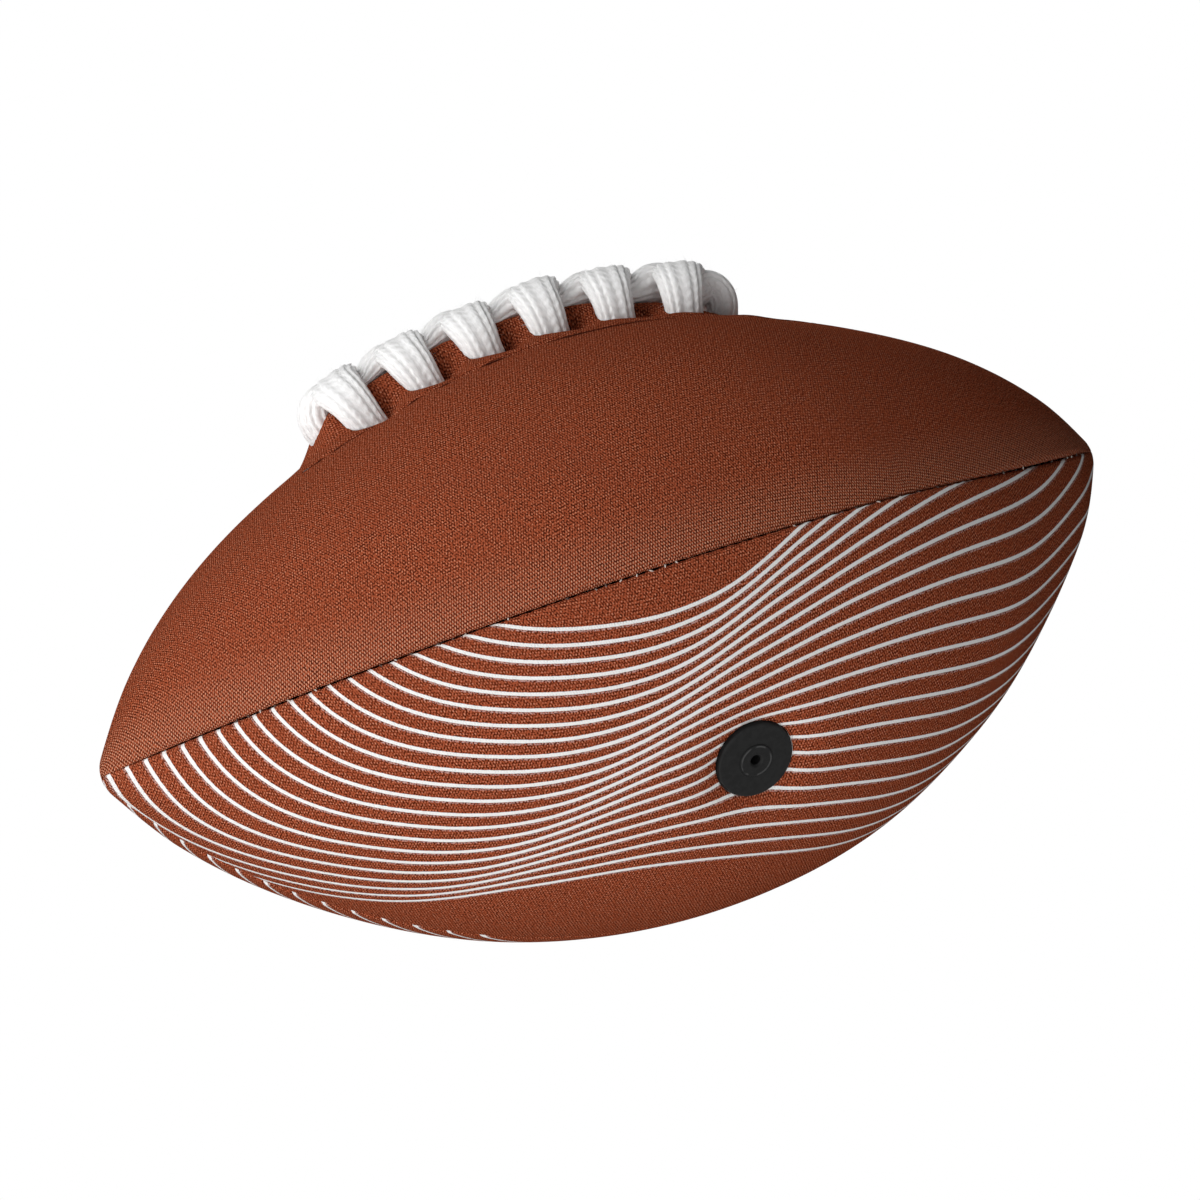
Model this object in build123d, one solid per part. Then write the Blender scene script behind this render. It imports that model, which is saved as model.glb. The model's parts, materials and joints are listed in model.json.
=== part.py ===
from build123d import *
from math import asin, atan2, ceil, cos, hypot, pi, radians, sin, sqrt
import os

# The ball: X runs from tip to tip, Z goes up through the lacing, and the lowest point lies on Z = 0.
ball_length = 210.0
ball_diameter = 119.0
lobe_offset = 2.0             # every panel swells about an axis of its own, this far off the ball's axis
lace_draw = 4.0               # the tight lacing draws the two upper panels down by this much
waist_arc_radius = 117.0      # lengthwise curve of a panel at its waist
waist_arc_half = 42.0         # that curve reaches this far to each side of the middle
nose_radius = 6.0
nose_least = 3.0              # roundest corner that the layers inside keep at the tips

# The cover: a knit face cloth bonded to a foam backing, turned in and sewn at four seams.
face_thickness = 0.6
cover_thickness = 3.0
glue_gap = 0.05
seam_gap = 0.4
allowance_thickness = 2.0
thread_diameter = 0.7
thread_squeeze_share = 0.8    # a thread is this much thinner where it goes through the cloth
seam_stitch = 4.2
seam_end_margin = 14.0
fit_gap = 0.1

# The lacing: one flat cord that runs lengthwise on the seam and winds back over itself.
wrap_count = 6
wrap_pitch = 13.8
wrap_shift = 1.8
wrap_lean = 5.6               # a wrap crosses the seam aslant, this far along from hole row to middle
lace_width = 8.2
lace_thickness = 4.2
lace_gap = 0.25
lace_over_gap = 0.5           # between the spine and the wraps that bind it
lace_half_length = 45.5
spine_width = 6.6
spine_height = 5.8
spine_bend = 6.0
wrap_bend = 4.6
wrap_shoulder_share = 0.48    # half width of a wrap's flat top, as a share of half its span
wrap_knee = 1.5
hole_row = 10.0
under_width = 6.0
under_thickness = 2.4
tail_length = 11.0
slit_width = 3.0

# The lacing's backing: two reinforcing strips with a topstitch row each, and a tongue below.
facing_thickness = 1.2
facing_width = 18.0
facing_margin = 8.0
topstitch = 4.0
topstitch_row = 15.8
tongue_thickness = 0.8
tongue_half_width = 15.0

# The bladder and its valve, on the lower front panel.
bladder_thickness = 1.0
valve_angle = 40.0            # degrees below the front seam
valve_recess = 1.2
valve_disc_diameter = 15.2
valve_rim_round = 0.5
valve_gap = 0.15
stem_diameter = 10.0
stem_depth = 10.0
base_diameter = 26.0
base_thickness = 1.4
patch_diameter = 34.0
patch_thickness = 1.0
core_head_diameter = 6.6
core_head_height = 1.6
core_proud = 0.2
core_rim_round = 0.25
core_diameter = 5.2
core_length = 14.4
core_gap = 0.05
needle_diameter = 2.0
needle_depth = 10.0
needle_funnel = 0.4
slit_length = 2.4
slit_open = 0.3
exit_diameter = 3.0

# Values that follow from the sizes above.
half_length = ball_length / 2
panel_radius = ball_diameter / 2 - lobe_offset
lobe_side = lobe_offset / sqrt(2)
upper_lift = lobe_side - lace_draw
axis_height = panel_radius + lobe_side
waist_angle = asin(waist_arc_half / waist_arc_radius)
waist_drop = panel_radius - waist_arc_radius
facing_depth = cover_thickness + glue_gap
facing_inner = facing_depth + facing_thickness
facing_half = lace_half_length + facing_margin
leg_reach = hole_row + under_width / 2 - lobe_side
leg_sag = (panel_radius - facing_inner) - sqrt((panel_radius - facing_inner) ** 2 - leg_reach ** 2)
lean_sag = waist_arc_radius - sqrt(waist_arc_radius ** 2 - wrap_lean ** 2)
under_depth = facing_inner + leg_sag + lean_sag + fit_gap + under_thickness / 2
tongue_depth = under_depth + under_thickness / 2 + fit_gap
tongue_inner = tongue_depth + tongue_thickness
allowance_inner = tongue_inner + fit_gap
stitch_depth = (cover_thickness + allowance_inner) / 2
bladder_depth = allowance_inner + lace_draw / 2 - lobe_side + fit_gap
thread_radius = thread_diameter / 2

parts = {}


# The lengthwise curve of a panel: a waist arc, a shoulder arc tangent to it and a round nose.
def shoulder(depth):
    nose = max(nose_radius - depth, nose_least)
    nose_x = half_length - depth - nose
    join_x = (waist_arc_radius - depth) * sin(waist_angle)
    join_r = waist_drop + (waist_arc_radius - depth) * cos(waist_angle)
    away_x = join_x - nose_x
    along = -sin(waist_angle) * away_x - cos(waist_angle) * join_r
    radius = (nose ** 2 - away_x ** 2 - join_r ** 2) / (2 * (along + nose))
    centre_x = join_x - radius * sin(waist_angle)
    centre_r = join_r - radius * cos(waist_angle)
    end_angle = atan2(nose_x - centre_x, -centre_r)
    return radius, centre_x, centre_r, end_angle, nose, nose_x


def on_arc(centre_x, centre_r, radius, angle):
    return (centre_x + radius * sin(angle), centre_r + radius * cos(angle))


# A solid of revolution about X whose skin lies the given depth under a panel's outer face.
def lemon(depth, axis_y=0.0, axis_z=0.0):
    radius, centre_x, centre_r, end_angle, nose, nose_x = shoulder(depth)
    waist_radius = waist_arc_radius - depth
    top = (0, panel_radius - depth)
    join = on_arc(0, waist_drop, waist_radius, waist_angle)
    middle = on_arc(centre_x, centre_r, radius, (waist_angle + end_angle) / 2)
    end = on_arc(centre_x, centre_r, radius, end_angle)
    nose_middle = on_arc(nose_x, 0, nose, (end_angle + pi / 2) / 2)
    tip = (nose_x + nose, 0)

    def left(point):
        return (-point[0], point[1])

    outline = [
        ThreePointArc(left(tip), left(nose_middle), left(end)),
        ThreePointArc(left(end), left(middle), left(join)),
        ThreePointArc(left(join), top, join),
        ThreePointArc(join, middle, end),
        ThreePointArc(end, nose_middle, tip),
        Line(tip, left(tip)),
    ]
    face = make_face([Plane.XZ * edge for edge in outline])
    return Pos(0, axis_y, axis_z) * revolve(face, Axis.X)


# Place on a panel's curve, by the length along it from the middle, at a depth square to the face.
def on_meridian(run, depth):
    radius, centre_x, centre_r, end_angle, nose, nose_x = shoulder(0)
    waist_run = waist_arc_radius * waist_angle
    side = -1 if run < 0 else 1
    if abs(run) <= waist_run:
        x, r = on_arc(0, waist_drop, waist_arc_radius - depth, abs(run) / waist_arc_radius)
    else:
        angle = waist_angle + (abs(run) - waist_run) / radius
        x, r = on_arc(centre_x, centre_r, radius - depth, angle)
    return side * x, r


def seam_end():
    radius, centre_x, centre_r, end_angle, nose, nose_x = shoulder(0)
    return waist_arc_radius * waist_angle + radius * (end_angle - waist_angle) - seam_end_margin


def block(x0, x1, y0, y1, z0, z1):
    size = (abs(x1 - x0), abs(y1 - y0), abs(z1 - z0))
    return Pos((x0 + x1) / 2, (y0 + y1) / 2, (z0 + z1) / 2) * Box(*size)


def bar(start, end, radius):
    along = Vector(end) - Vector(start)
    return Plane(origin=start, z_dir=along) * Cylinder(
        radius, along.length, align=(Align.CENTER, Align.CENTER, Align.MIN)
    )


# A running stitch: it dips through at every hole and lies on the near and the far side by turns.
def running_stitch(near, far):
    pieces = [bar(a, b, thread_radius * thread_squeeze_share) for a, b in zip(near, far)]
    for i in range(len(near) - 1):
        side = near if i % 2 == 0 else far
        over = (Vector(side[i + 1]) - Vector(side[i])).normalized() * thread_radius
        pieces.append(bar(Vector(side[i]) - over, Vector(side[i + 1]) + over, thread_radius))
    return pieces[0].fuse(*pieces[1:])


def spread(start, end, pitch):
    count = max(2, ceil((end - start) / pitch))
    return [start + (end - start) * i / count for i in range(count + 1)]


# The lacing's frame: places along the drawn-down top seam, by angle and height above the cover.
lace_centre = upper_lift + waist_drop


def over_seam(angle, height):
    return Vector(
        (waist_arc_radius + height) * sin(angle), 0, lace_centre + (waist_arc_radius + height) * cos(angle)
    )


wrap_slant = atan2(wrap_lean, hole_row)
wrap_half = hypot(wrap_lean, hole_row)
wrap_top = lace_gap + spine_height + lace_over_gap + lace_thickness / 2
under_height = -under_depth


def wrap_angle(i):
    return (wrap_shift + (i - (wrap_count - 1) / 2) * wrap_pitch) / waist_arc_radius


def wrap_plane(i):
    angle = wrap_angle(i)
    up = Vector(sin(angle), 0, cos(angle))
    across = Vector(sin(wrap_slant) * cos(angle), cos(wrap_slant), -sin(wrap_slant) * sin(angle))
    return Plane(origin=over_seam(angle, 0), x_dir=across, z_dir=across.cross(up))


wrap_planes = [wrap_plane(i) for i in range(wrap_count)]


def wrap_leg(plane, side, height):
    return plane.from_local_coords((side * wrap_half, height, 0))


# Holes that the cord passes through: two rows of slots, and one at each end of the slit.
hole_reach = under_depth
end_angle = lace_half_length / waist_arc_radius
lace_holes = []
for plane in wrap_planes:
    for side in (-1, 1):
        seat = Plane(origin=wrap_leg(plane, side, -hole_reach), x_dir=plane.z_dir, z_dir=plane.y_dir)
        slot = SlotOverall(lace_width + 2 * lace_gap, lace_thickness + 2 * lace_gap)
        lace_holes.append(extrude(seat * slot, 2 * hole_reach))
spine_relief = spine_bend - spine_height / 2
for side in (-1, 1):
    up = Vector(side * sin(end_angle), 0, cos(end_angle))
    along = Vector(cos(end_angle), 0, -side * sin(end_angle))
    seat = Plane(origin=over_seam(side * end_angle, -hole_reach), x_dir=along, z_dir=up)
    slot = SlotOverall(spine_height + 2 * lace_gap + spine_relief, spine_width + 2 * lace_gap)
    lace_holes.append(extrude(seat * Pos(-side * spine_relief / 2, 0) * slot, 2 * hole_reach))
lace_holes.append(
    block(-lace_half_length, lace_half_length, -slit_width / 2, slit_width / 2, 0, ball_diameter)
)

# The valve's frame: its axis leaves the lower front panel below the front seam.
valve_out = Vector(0, -cos(radians(valve_angle)), -sin(radians(valve_angle)))
valve_axis = Axis((0, 0, 0), valve_out)
valve_plane = Plane(origin=(0, 0, 0), x_dir=(1, 0, 0), z_dir=valve_out)


def valve_reach(axis_y, axis_z, radius):
    along = valve_out.Y * axis_y + valve_out.Z * axis_z
    return along + sqrt(radius ** 2 - axis_y ** 2 - axis_z ** 2 + along ** 2)


def valve_rod(diameter, low, high):
    return valve_plane.offset(low) * Cylinder(
        diameter / 2, high - low, align=(Align.CENTER, Align.CENTER, Align.MIN)
    )


valve_top = valve_reach(-lobe_side, -lobe_side, panel_radius) - valve_recess
bladder_drop = -lace_draw / 2
valve_seat = valve_reach(0, bladder_drop, panel_radius - bladder_depth)
valve_opening = valve_rod(valve_disc_diameter + 2 * valve_gap, valve_seat, ball_diameter)

# The four panels of the cover: a face cloth each, and its foam backing with turned-in allowances.
far = ball_diameter
facing_end = facing_half + fit_gap
panels = {"front_top": (-1, 1), "front_bottom": (-1, -1), "back_bottom": (1, -1), "back_top": (1, 1)}
for name, (side_y, side_z) in panels.items():
    axis_y = side_y * lobe_side
    axis_z = upper_lift if side_z > 0 else -lobe_side
    edge_y = side_y * seam_gap / 2
    edge_z = side_z * seam_gap / 2
    corner = block(-far, far, edge_y, side_y * far, edge_z, side_z * far)
    cloth = (lemon(0, axis_y, axis_z) - lemon(face_thickness, axis_y, axis_z)) & corner
    foam_outer = lemon(face_thickness + glue_gap, axis_y, axis_z)
    foam_inner = lemon(cover_thickness, axis_y, axis_z)
    foam = (foam_outer - foam_inner) & corner
    rim = lemon((face_thickness + cover_thickness) / 2, axis_y, axis_z)
    rim -= lemon(allowance_inner, axis_y, axis_z)
    turn_y = edge_y + side_y * allowance_thickness
    turn_z = edge_z + side_z * allowance_thickness
    foam += rim & block(-far, far, edge_y, side_y * far, edge_z, turn_z)
    upright = rim & block(-far, far, edge_y, turn_y, edge_z, side_z * far)
    if side_z > 0:
        upright -= block(-facing_end, facing_end, -far, far, lobe_side, far)
        foam = foam + upright
        for hole in lace_holes:
            cloth -= hole
            foam -= hole
    else:
        foam = foam + upright
    if name == "front_bottom":
        cloth -= valve_opening
        foam -= valve_opening
    parts["panel_" + name] = cloth
    parts["foam_" + name] = foam

# The seam threads: running stitches through the turned-in allowances of two neighbours.
stitch_half = seam_gap / 2 + allowance_thickness + thread_radius


def seam_stitches(start, end, side_y, side_z):
    near = []
    far_side = []
    for run in spread(start, end, seam_stitch):
        x, r = on_meridian(run, stitch_depth)
        reach = sqrt(r ** 2 - lobe_side ** 2)
        if side_y:
            place = (x, side_y * (lobe_side + reach))
            near.append((*place, -stitch_half))
            far_side.append((*place, stitch_half))
        else:
            height = upper_lift + reach if side_z > 0 else -lobe_side - reach
            near.append((x, -stitch_half, height))
            far_side.append((x, stitch_half, height))
    return running_stitch(near, far_side)


top_start = facing_end + thread_diameter + allowance_inner
parts["seam_thread_front"] = seam_stitches(-seam_end(), seam_end(), -1, 0)
parts["seam_thread_bottom"] = seam_stitches(-seam_end(), seam_end(), 0, -1)
parts["seam_thread_back"] = seam_stitches(-seam_end(), seam_end(), 1, 0)
parts["seam_thread_top_left"] = seam_stitches(-seam_end(), -top_start, 0, 1)
parts["seam_thread_top_right"] = seam_stitches(top_start, seam_end(), 0, 1)

# The reinforcing strips along both edges of the lacing, each held by a row of topstitching.
for name, side_y in (("front", -1), ("back", 1)):
    strip = lemon(facing_depth, side_y * lobe_side, upper_lift)
    strip -= lemon(facing_inner, side_y * lobe_side, upper_lift)
    strip &= block(-facing_half, facing_half, side_y * slit_width / 2, side_y * facing_width, 0, far)
    for hole in lace_holes:
        strip -= hole
    parts["lace_facing_" + name] = strip
    outside = []
    inside = []
    row_end = facing_half - 2 * thread_diameter
    for run in spread(-row_end, row_end, topstitch / 2):
        for depth, row in ((0, outside), (facing_inner + thread_radius, inside)):
            x, r = on_meridian(run, depth)
            spot_y = side_y * topstitch_row
            rise = sqrt(r ** 2 - (topstitch_row - lobe_side) ** 2)
            row.append((x, spot_y, upper_lift + rise))
    parts["facing_thread_" + name] = running_stitch(outside, inside)

# The tongue that keeps the lacing off the bladder.
tongue = lemon(tongue_depth, 0, upper_lift) - lemon(tongue_inner, 0, upper_lift)
tongue &= block(-facing_half, facing_half, -tongue_half_width, tongue_half_width, 0, far)
parts["lace_tongue"] = tongue

# The lace: six slanting wraps, runs under the cover from one to the next, and the spine they bind.
def flat_run(start, end):
    along = (end - start).normalized()
    up = Vector(start.X, 0, start.Z - lace_centre)
    flat = Plane(origin=start, x_dir=along.cross(up), z_dir=along)
    return extrude(flat * SlotOverall(under_width, under_thickness), (end - start).length)


lace = []
shoulder_half = wrap_half * wrap_shoulder_share
for plane in wrap_planes:
    path = FilletPolyline(
        (-wrap_half, under_height),
        (-wrap_half, wrap_knee),
        (-shoulder_half, wrap_top),
        (shoulder_half, wrap_top),
        (wrap_half, wrap_knee),
        (wrap_half, under_height),
        radius=wrap_bend,
    )
    start = Plane(origin=wrap_leg(plane, -1, under_height), x_dir=plane.z_dir, z_dir=plane.y_dir)
    lace.append(sweep(start * SlotOverall(lace_width, lace_thickness), path=plane * path))
for here, following in zip(wrap_planes, wrap_planes[1:]):
    lace.append(flat_run(wrap_leg(here, 1, under_height), wrap_leg(following, -1, under_height)))

spine_middle = lace_gap + spine_height / 2
bend_angle = asin(spine_bend / (waist_arc_radius + spine_middle - spine_bend))
bend_leg = sqrt((waist_arc_radius + spine_middle - spine_bend) ** 2 - spine_bend ** 2) - waist_arc_radius
spine_foot = over_seam(-end_angle, under_height)
spine_edges = []
for side in (-1, 1):
    foot = over_seam(side * end_angle, under_height)
    leg = over_seam(side * end_angle, bend_leg)
    turn = over_seam(side * (end_angle - bend_angle), spine_middle)
    pivot = over_seam(side * (end_angle - bend_angle), spine_middle - spine_bend)
    towards = ((leg - pivot).normalized() + (turn - pivot).normalized()).normalized()
    spine_edges += [Line(foot, leg), ThreePointArc(leg, pivot + towards * spine_bend, turn)]
spine_edges.append(
    ThreePointArc(
        over_seam(bend_angle - end_angle, spine_middle),
        over_seam(0, spine_middle),
        over_seam(end_angle - bend_angle, spine_middle),
    )
)
spine_up = Vector(-sin(end_angle), 0, cos(end_angle))
spine_start = Plane(origin=spine_foot, x_dir=(0, 1, 0), z_dir=spine_up)
spine_path = Wire([edge.edge() for edge in spine_edges])
lace.append(sweep(spine_start * SlotOverall(spine_width, spine_height), path=spine_path))

lace.append(flat_run(wrap_leg(wrap_planes[-1], 1, under_height), over_seam(end_angle, under_height)))
first_leg = wrap_leg(wrap_planes[0], -1, under_height)
tail_angle = atan2(first_leg.X, first_leg.Z - lace_centre) - tail_length / waist_arc_radius
tail_height = hypot(first_leg.X, first_leg.Z - lace_centre) - waist_arc_radius
lace.append(flat_run(first_leg, over_seam(tail_angle, tail_height) + Vector(0, first_leg.Y, 0)))
lace.append(flat_run(spine_foot, spine_foot + Vector(0, tail_length, 0)))
parts["lace"] = lace[0].fuse(*lace[1:])

# The cord's least gap to itself, on points of the spine's upper half under each wrap.
under_wrap = lace_width / 2 / waist_arc_radius
lace_gaps = []
for i in range(wrap_count):
    for angle in spread(wrap_angle(i) - under_wrap, wrap_angle(i) + under_wrap, under_wrap / 3):
        for turn in spread(-pi / 2, pi / 2, pi / 6):
            crown = over_seam(angle, lace_gap + (1 + cos(turn)) * spine_height / 2)
            spot = crown + Vector(0, sin(turn) * spine_width / 2, 0)
            lace_gaps.append(Vertex(spot).distance_to(lace[i]))
print(f"least gap of the lace to itself: {min(lace_gaps):.2f} mm")

# The bladder inside the cover, open where the valve's stem goes in.
bladder = lemon(bladder_depth, 0, bladder_drop)
bladder -= lemon(bladder_depth + bladder_thickness, 0, bladder_drop)
bladder -= valve_rod(stem_diameter + 2 * valve_gap, valve_seat - stem_depth, valve_top)
parts["bladder"] = bladder

# The valve's housing: a disc that fills the hole in the cover, a base on the bladder and a stem.
base = lemon(bladder_depth - glue_gap - base_thickness, 0, bladder_drop)
base -= lemon(bladder_depth - glue_gap, 0, bladder_drop)
base &= valve_rod(base_diameter, 0, ball_diameter)
disc = valve_rod(valve_disc_diameter, valve_seat + base_thickness / 2, valve_top)
housing = fillet(disc.edges().sort_by(valve_axis)[-1], valve_rim_round)
housing += base
housing += valve_rod(stem_diameter, valve_seat - stem_depth, valve_top)
core_low = valve_top + core_proud - core_length
core_seat = valve_top + core_proud - core_head_height
housing -= valve_rod(core_head_diameter + 2 * core_gap, core_seat - core_gap, ball_diameter)
housing -= valve_rod(core_diameter + 2 * core_gap, core_low - core_gap, ball_diameter)
housing -= valve_rod(exit_diameter, 0, ball_diameter)
parts["valve_housing"] = housing

# The patch bonded to the back of the panel round the valve.
patch = lemon(cover_thickness + glue_gap, -lobe_side, -lobe_side)
patch -= lemon(cover_thickness + glue_gap + patch_thickness, -lobe_side, -lobe_side)
patch &= valve_rod(patch_diameter, 0, ball_diameter)
parts["valve_patch"] = patch - valve_opening

# The plug in the housing: a needle hole with a funnel mouth, closed at its foot by a slit.
core_top = valve_top + core_proud
core_head = valve_rod(core_head_diameter, core_seat, core_top)
core = fillet(core_head.edges().sort_by(valve_axis)[-1], core_rim_round)
core += valve_rod(core_diameter, core_low, core_top)
core -= valve_rod(needle_diameter, core_top - needle_depth, core_top)
funnel = Cone(
    needle_diameter / 2, needle_diameter / 2 + needle_funnel, needle_funnel,
    align=(Align.CENTER, Align.CENTER, Align.MAX),
)
core -= valve_plane.offset(core_top) * funnel
core -= valve_plane.offset((core_low + core_top - needle_depth) / 2) * Box(
    slit_length, slit_open, core_length - needle_depth + needle_funnel
)
parts["valve_core"] = core

os.makedirs("parts", exist_ok=True)
for name, solid in parts.items():
    export_step(Pos(0, 0, axis_height) * solid, os.path.join("parts", name + ".step"))
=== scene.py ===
import json
import random
from math import acos, asin, atan2, ceil, cos, exp, pi, radians, sin, sqrt

import bmesh
import bpy
from mathutils import Matrix, Vector
from mathutils.noise import noise


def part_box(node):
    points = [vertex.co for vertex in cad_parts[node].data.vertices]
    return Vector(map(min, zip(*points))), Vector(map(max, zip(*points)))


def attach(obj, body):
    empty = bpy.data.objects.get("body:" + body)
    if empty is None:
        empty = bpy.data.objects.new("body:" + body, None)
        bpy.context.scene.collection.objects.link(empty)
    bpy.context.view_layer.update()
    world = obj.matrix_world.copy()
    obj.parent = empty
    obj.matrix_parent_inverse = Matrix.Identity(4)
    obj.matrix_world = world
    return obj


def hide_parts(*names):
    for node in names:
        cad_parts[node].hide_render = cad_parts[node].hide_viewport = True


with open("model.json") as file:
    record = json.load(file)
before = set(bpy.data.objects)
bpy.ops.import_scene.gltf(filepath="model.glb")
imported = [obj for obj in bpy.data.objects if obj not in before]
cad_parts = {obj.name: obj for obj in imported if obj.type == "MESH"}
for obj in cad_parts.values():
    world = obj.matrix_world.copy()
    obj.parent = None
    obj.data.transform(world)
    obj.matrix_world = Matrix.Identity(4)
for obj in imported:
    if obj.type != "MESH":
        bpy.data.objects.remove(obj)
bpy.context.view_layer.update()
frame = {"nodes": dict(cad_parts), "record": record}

# The ball's form. Four panels of foam-backed knit are sewn into a lemon and blown up from inside, so each
# panel swells about an axis of its own and the seams hold it back. Lengths are in millimetres from the
# ball's long axis, and spot() turns a place into the scene's metres.
METRE = 0.001
seam_half = 0.2
panel_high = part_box("panel_front_bottom")[1]
half_length = panel_high.x / METRE
axis_height = panel_high.z / METRE + seam_half
lobe_side = sqrt(2)
lace_draw = 4.0
end_draw = 0.6
draw_start, draw_stop = 40.0, 92.0
panel_radius = axis_height - lobe_side
waist_arc_radius = 117.0
waist_arc_half = 42.0
nose_radius = 6.0
tip_hole = 0.3

waist_angle = asin(waist_arc_half / waist_arc_radius)
waist_drop = panel_radius - waist_arc_radius
nose_x = half_length - nose_radius
join_r = waist_drop + waist_arc_radius * cos(waist_angle)
join_away = waist_arc_half - nose_x
join_along = -sin(waist_angle) * join_away - cos(waist_angle) * join_r
shoulder_radius = (nose_radius ** 2 - join_away ** 2 - join_r ** 2) / (2 * (join_along + nose_radius))
shoulder_x = waist_arc_half - shoulder_radius * sin(waist_angle)
shoulder_r = join_r - shoulder_radius * cos(waist_angle)
nose_angle = atan2(nose_x - shoulder_x, -shoulder_r)
meridian_arcs = (
    (0.0, waist_drop, waist_arc_radius, 0.0, waist_angle),
    (shoulder_x, shoulder_r, shoulder_radius, waist_angle, nose_angle),
    (nose_x, 0.0, nose_radius, nose_angle, pi / 2 - tip_hole / nose_radius),
)
half_run = sum(radius * (end - start) for x, r, radius, start, end in meridian_arcs)


def on_meridian(run):
    side = -1 if run < 0 else 1
    left = abs(run)
    for centre_x, centre_r, radius, start, end in meridian_arcs:
        angle = min(start + left / radius, end)
        if angle < end:
            break
        left -= radius * (end - start)
    x = centre_x + radius * sin(angle)
    r = centre_r + radius * cos(angle)
    return side * x, r, side * sin(angle), cos(angle)


def spot(place):
    return Vector((place[0], place[1], place[2] + axis_height)) * METRE


def ease(value, low, high):
    share = min(max((value - low) / (high - low), 0.0), 1.0)
    return share * share * (3 - 2 * share)


# The cover's surface. The stitches draw the cloth into a roll at every seam; the slit's edges stand up as
# flaps inside a bowed row of topstitching and the wraps press scallops into them; the glued valve draws a
# dimple and the right tip stands a little high. cover_point() gives a place at a depth below the face.
panels = {"front_top": (-1, 1), "front_bottom": (-1, -1), "back_bottom": (1, -1), "back_top": (1, 1)}
seam_roll = 1.0
seam_gap = 0.04
roll_share = 0.1
layer_corner = 0.15
tip_fade = 16.0
tip_roll = tip_hole / 4
deepest_share = 0.9
seam_stitch = 2.7
stitch_pull = 0.22
stitch_scallop = 0.11
edge_feel_size = 1.7
edge_feel_seeds = (5, 9)
hand_feel = 0.35
hand_feel_size = 38.0
wrap_count = 6
wrap_pitch = 13.8
wrap_shift = 1.8
wrap_lean = 5.6
hole_row = 10.0
lace_half_length = 45.5
slit_half = 1.5
slit_fade = 4.0
flap_rise = 4.9
flap_top = 4.5
flap_foot = 12.5
placket_rise = 0.3
row_crest, row_middle, row_bend = 23.5, 6.0, 0.0035
row_edge = 1.5
placket_end = 53.5
placket_fade = 7.0
flap_end = 36.0
flap_fade = 11.0
flap_shift = -2.5
flap_fall = 62.0
flap_hole_gap = 2.0
scallop_depth = 3.0
scallop_reach = 4.2
scallop_run_out = 7.0
scallop_shift = 3.2
topstitch_groove = 0.8
topstitch_groove_half = 0.55
end_dip, end_dip_place, end_dip_reach = 0.5, 45.0, 5.0
end_dip_inner, end_dip_outer = 14.0, 28.0
valve_mount = frame["record"]["mounts"][0]
valve_out = Vector(valve_mount["axis"]).normalized()
valve_disc_radius = 7.6
valve_dimple = 1.3
dimple_reach = 4.5
valve_tuck = 0.7
tuck_reach = 1.6
belly_rise, belly_place, belly_reach = 0.9, 34.0, 30.0
end_slack, slack_start, slack_stop = 0.7, 60.0, 82.0
slack_end, slack_tip = 84.0, 104.0
tip_rise, tip_rise_start = 2.4, 58.0
wrap_places = [wrap_shift + (i - (wrap_count - 1) / 2) * wrap_pitch for i in range(wrap_count)]


def placket_row(x):
    return row_crest - row_bend * (x - row_middle) ** 2


def placket_relief(side_y, x, a):
    window = 1 - ease(abs(x), placket_end - placket_fade, placket_end)
    row = placket_row(x)
    inside = 1 - ease(a, row - row_edge, row)
    rise = placket_rise * inside - topstitch_groove * exp(-((a - row) / topstitch_groove_half) ** 2)
    flap = flap_rise * (1 - ease(a, flap_top, flap_foot)) * (1 - ease(x, 0.0, flap_fall))
    flap *= 1 - ease(abs(x - flap_shift), flap_end, flap_end + flap_fade)
    beside = exp(-((a - hole_row) / (scallop_run_out if a > hole_row else scallop_reach)) ** 2)
    for place in wrap_places:
        near = exp(-((x - place - side_y * (wrap_lean - scallop_shift)) / scallop_reach) ** 2)
        rise -= scallop_depth * beside * near
        flap *= 1 - near * ease(a, flap_top, hole_row - flap_hole_gap)
    dip = end_dip * exp(-((x - end_dip_place) / end_dip_reach) ** 2)
    dip *= 1 - ease(a, end_dip_inner, end_dip_outer)
    return (rise + flap) * window - dip


def cover_relief(panel, x, a, b):
    side_y, side_z = panel
    here = Vector((x, side_y * a, side_z * b))
    rise = hand_feel * noise(here / hand_feel_size)
    if side_z > 0:
        return rise + placket_relief(side_y, x, a)
    rise += belly_rise * exp(-((x - belly_place) / belly_reach) ** 2)
    rise -= end_slack * ease(x, slack_start, slack_stop) * (1 - ease(x, slack_end, slack_tip))
    if side_y < 0:
        aside = (here - valve_out * here.dot(valve_out)).length
        beyond = max(aside - valve_disc_radius, 0.0)
        dimple = valve_dimple * exp(-(beyond / dimple_reach) ** 2)
        rise -= dimple + valve_tuck * exp(-(beyond / tuck_reach) ** 2)
    return rise


def panel_station(panel, run):
    x, r, slope_x, slope_r = on_meridian(run)
    shrink = ease(r, 0.0, tip_fade)
    lift = lobe_side
    slit = 0.0
    if panel[1] > 0:
        lift -= lace_draw + (end_draw - lace_draw) * ease(abs(x), draw_start, draw_stop)
        slit = 1 - ease(abs(x), lace_half_length - slit_fade, lace_half_length)
    wave = 0.5 + 0.5 * cos(2 * pi * run / seam_stitch)
    feel = noise(Vector((run / edge_feel_size, edge_feel_seeds[0] * panel[0], edge_feel_seeds[1] * panel[1])))
    edge = seam_gap + stitch_scallop * shrink * (wave + feel)
    return {
        "x": x, "r": r, "slope_x": slope_x, "slope_r": slope_r,
        "centre_a": lobe_side * shrink, "centre_b": lift * shrink, "roll": seam_roll * shrink + tip_roll,
        "pull": stitch_pull * wave * shrink, "side_edge": edge * shrink,
        "crest_edge": (edge + (slit_half - seam_gap) * slit) * shrink,
    }


def side_angle(station, offset, sink):
    return asin(max(-1.0, min(1.0, (offset - station["centre_b"]) / (station["r"] - sink))))


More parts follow.
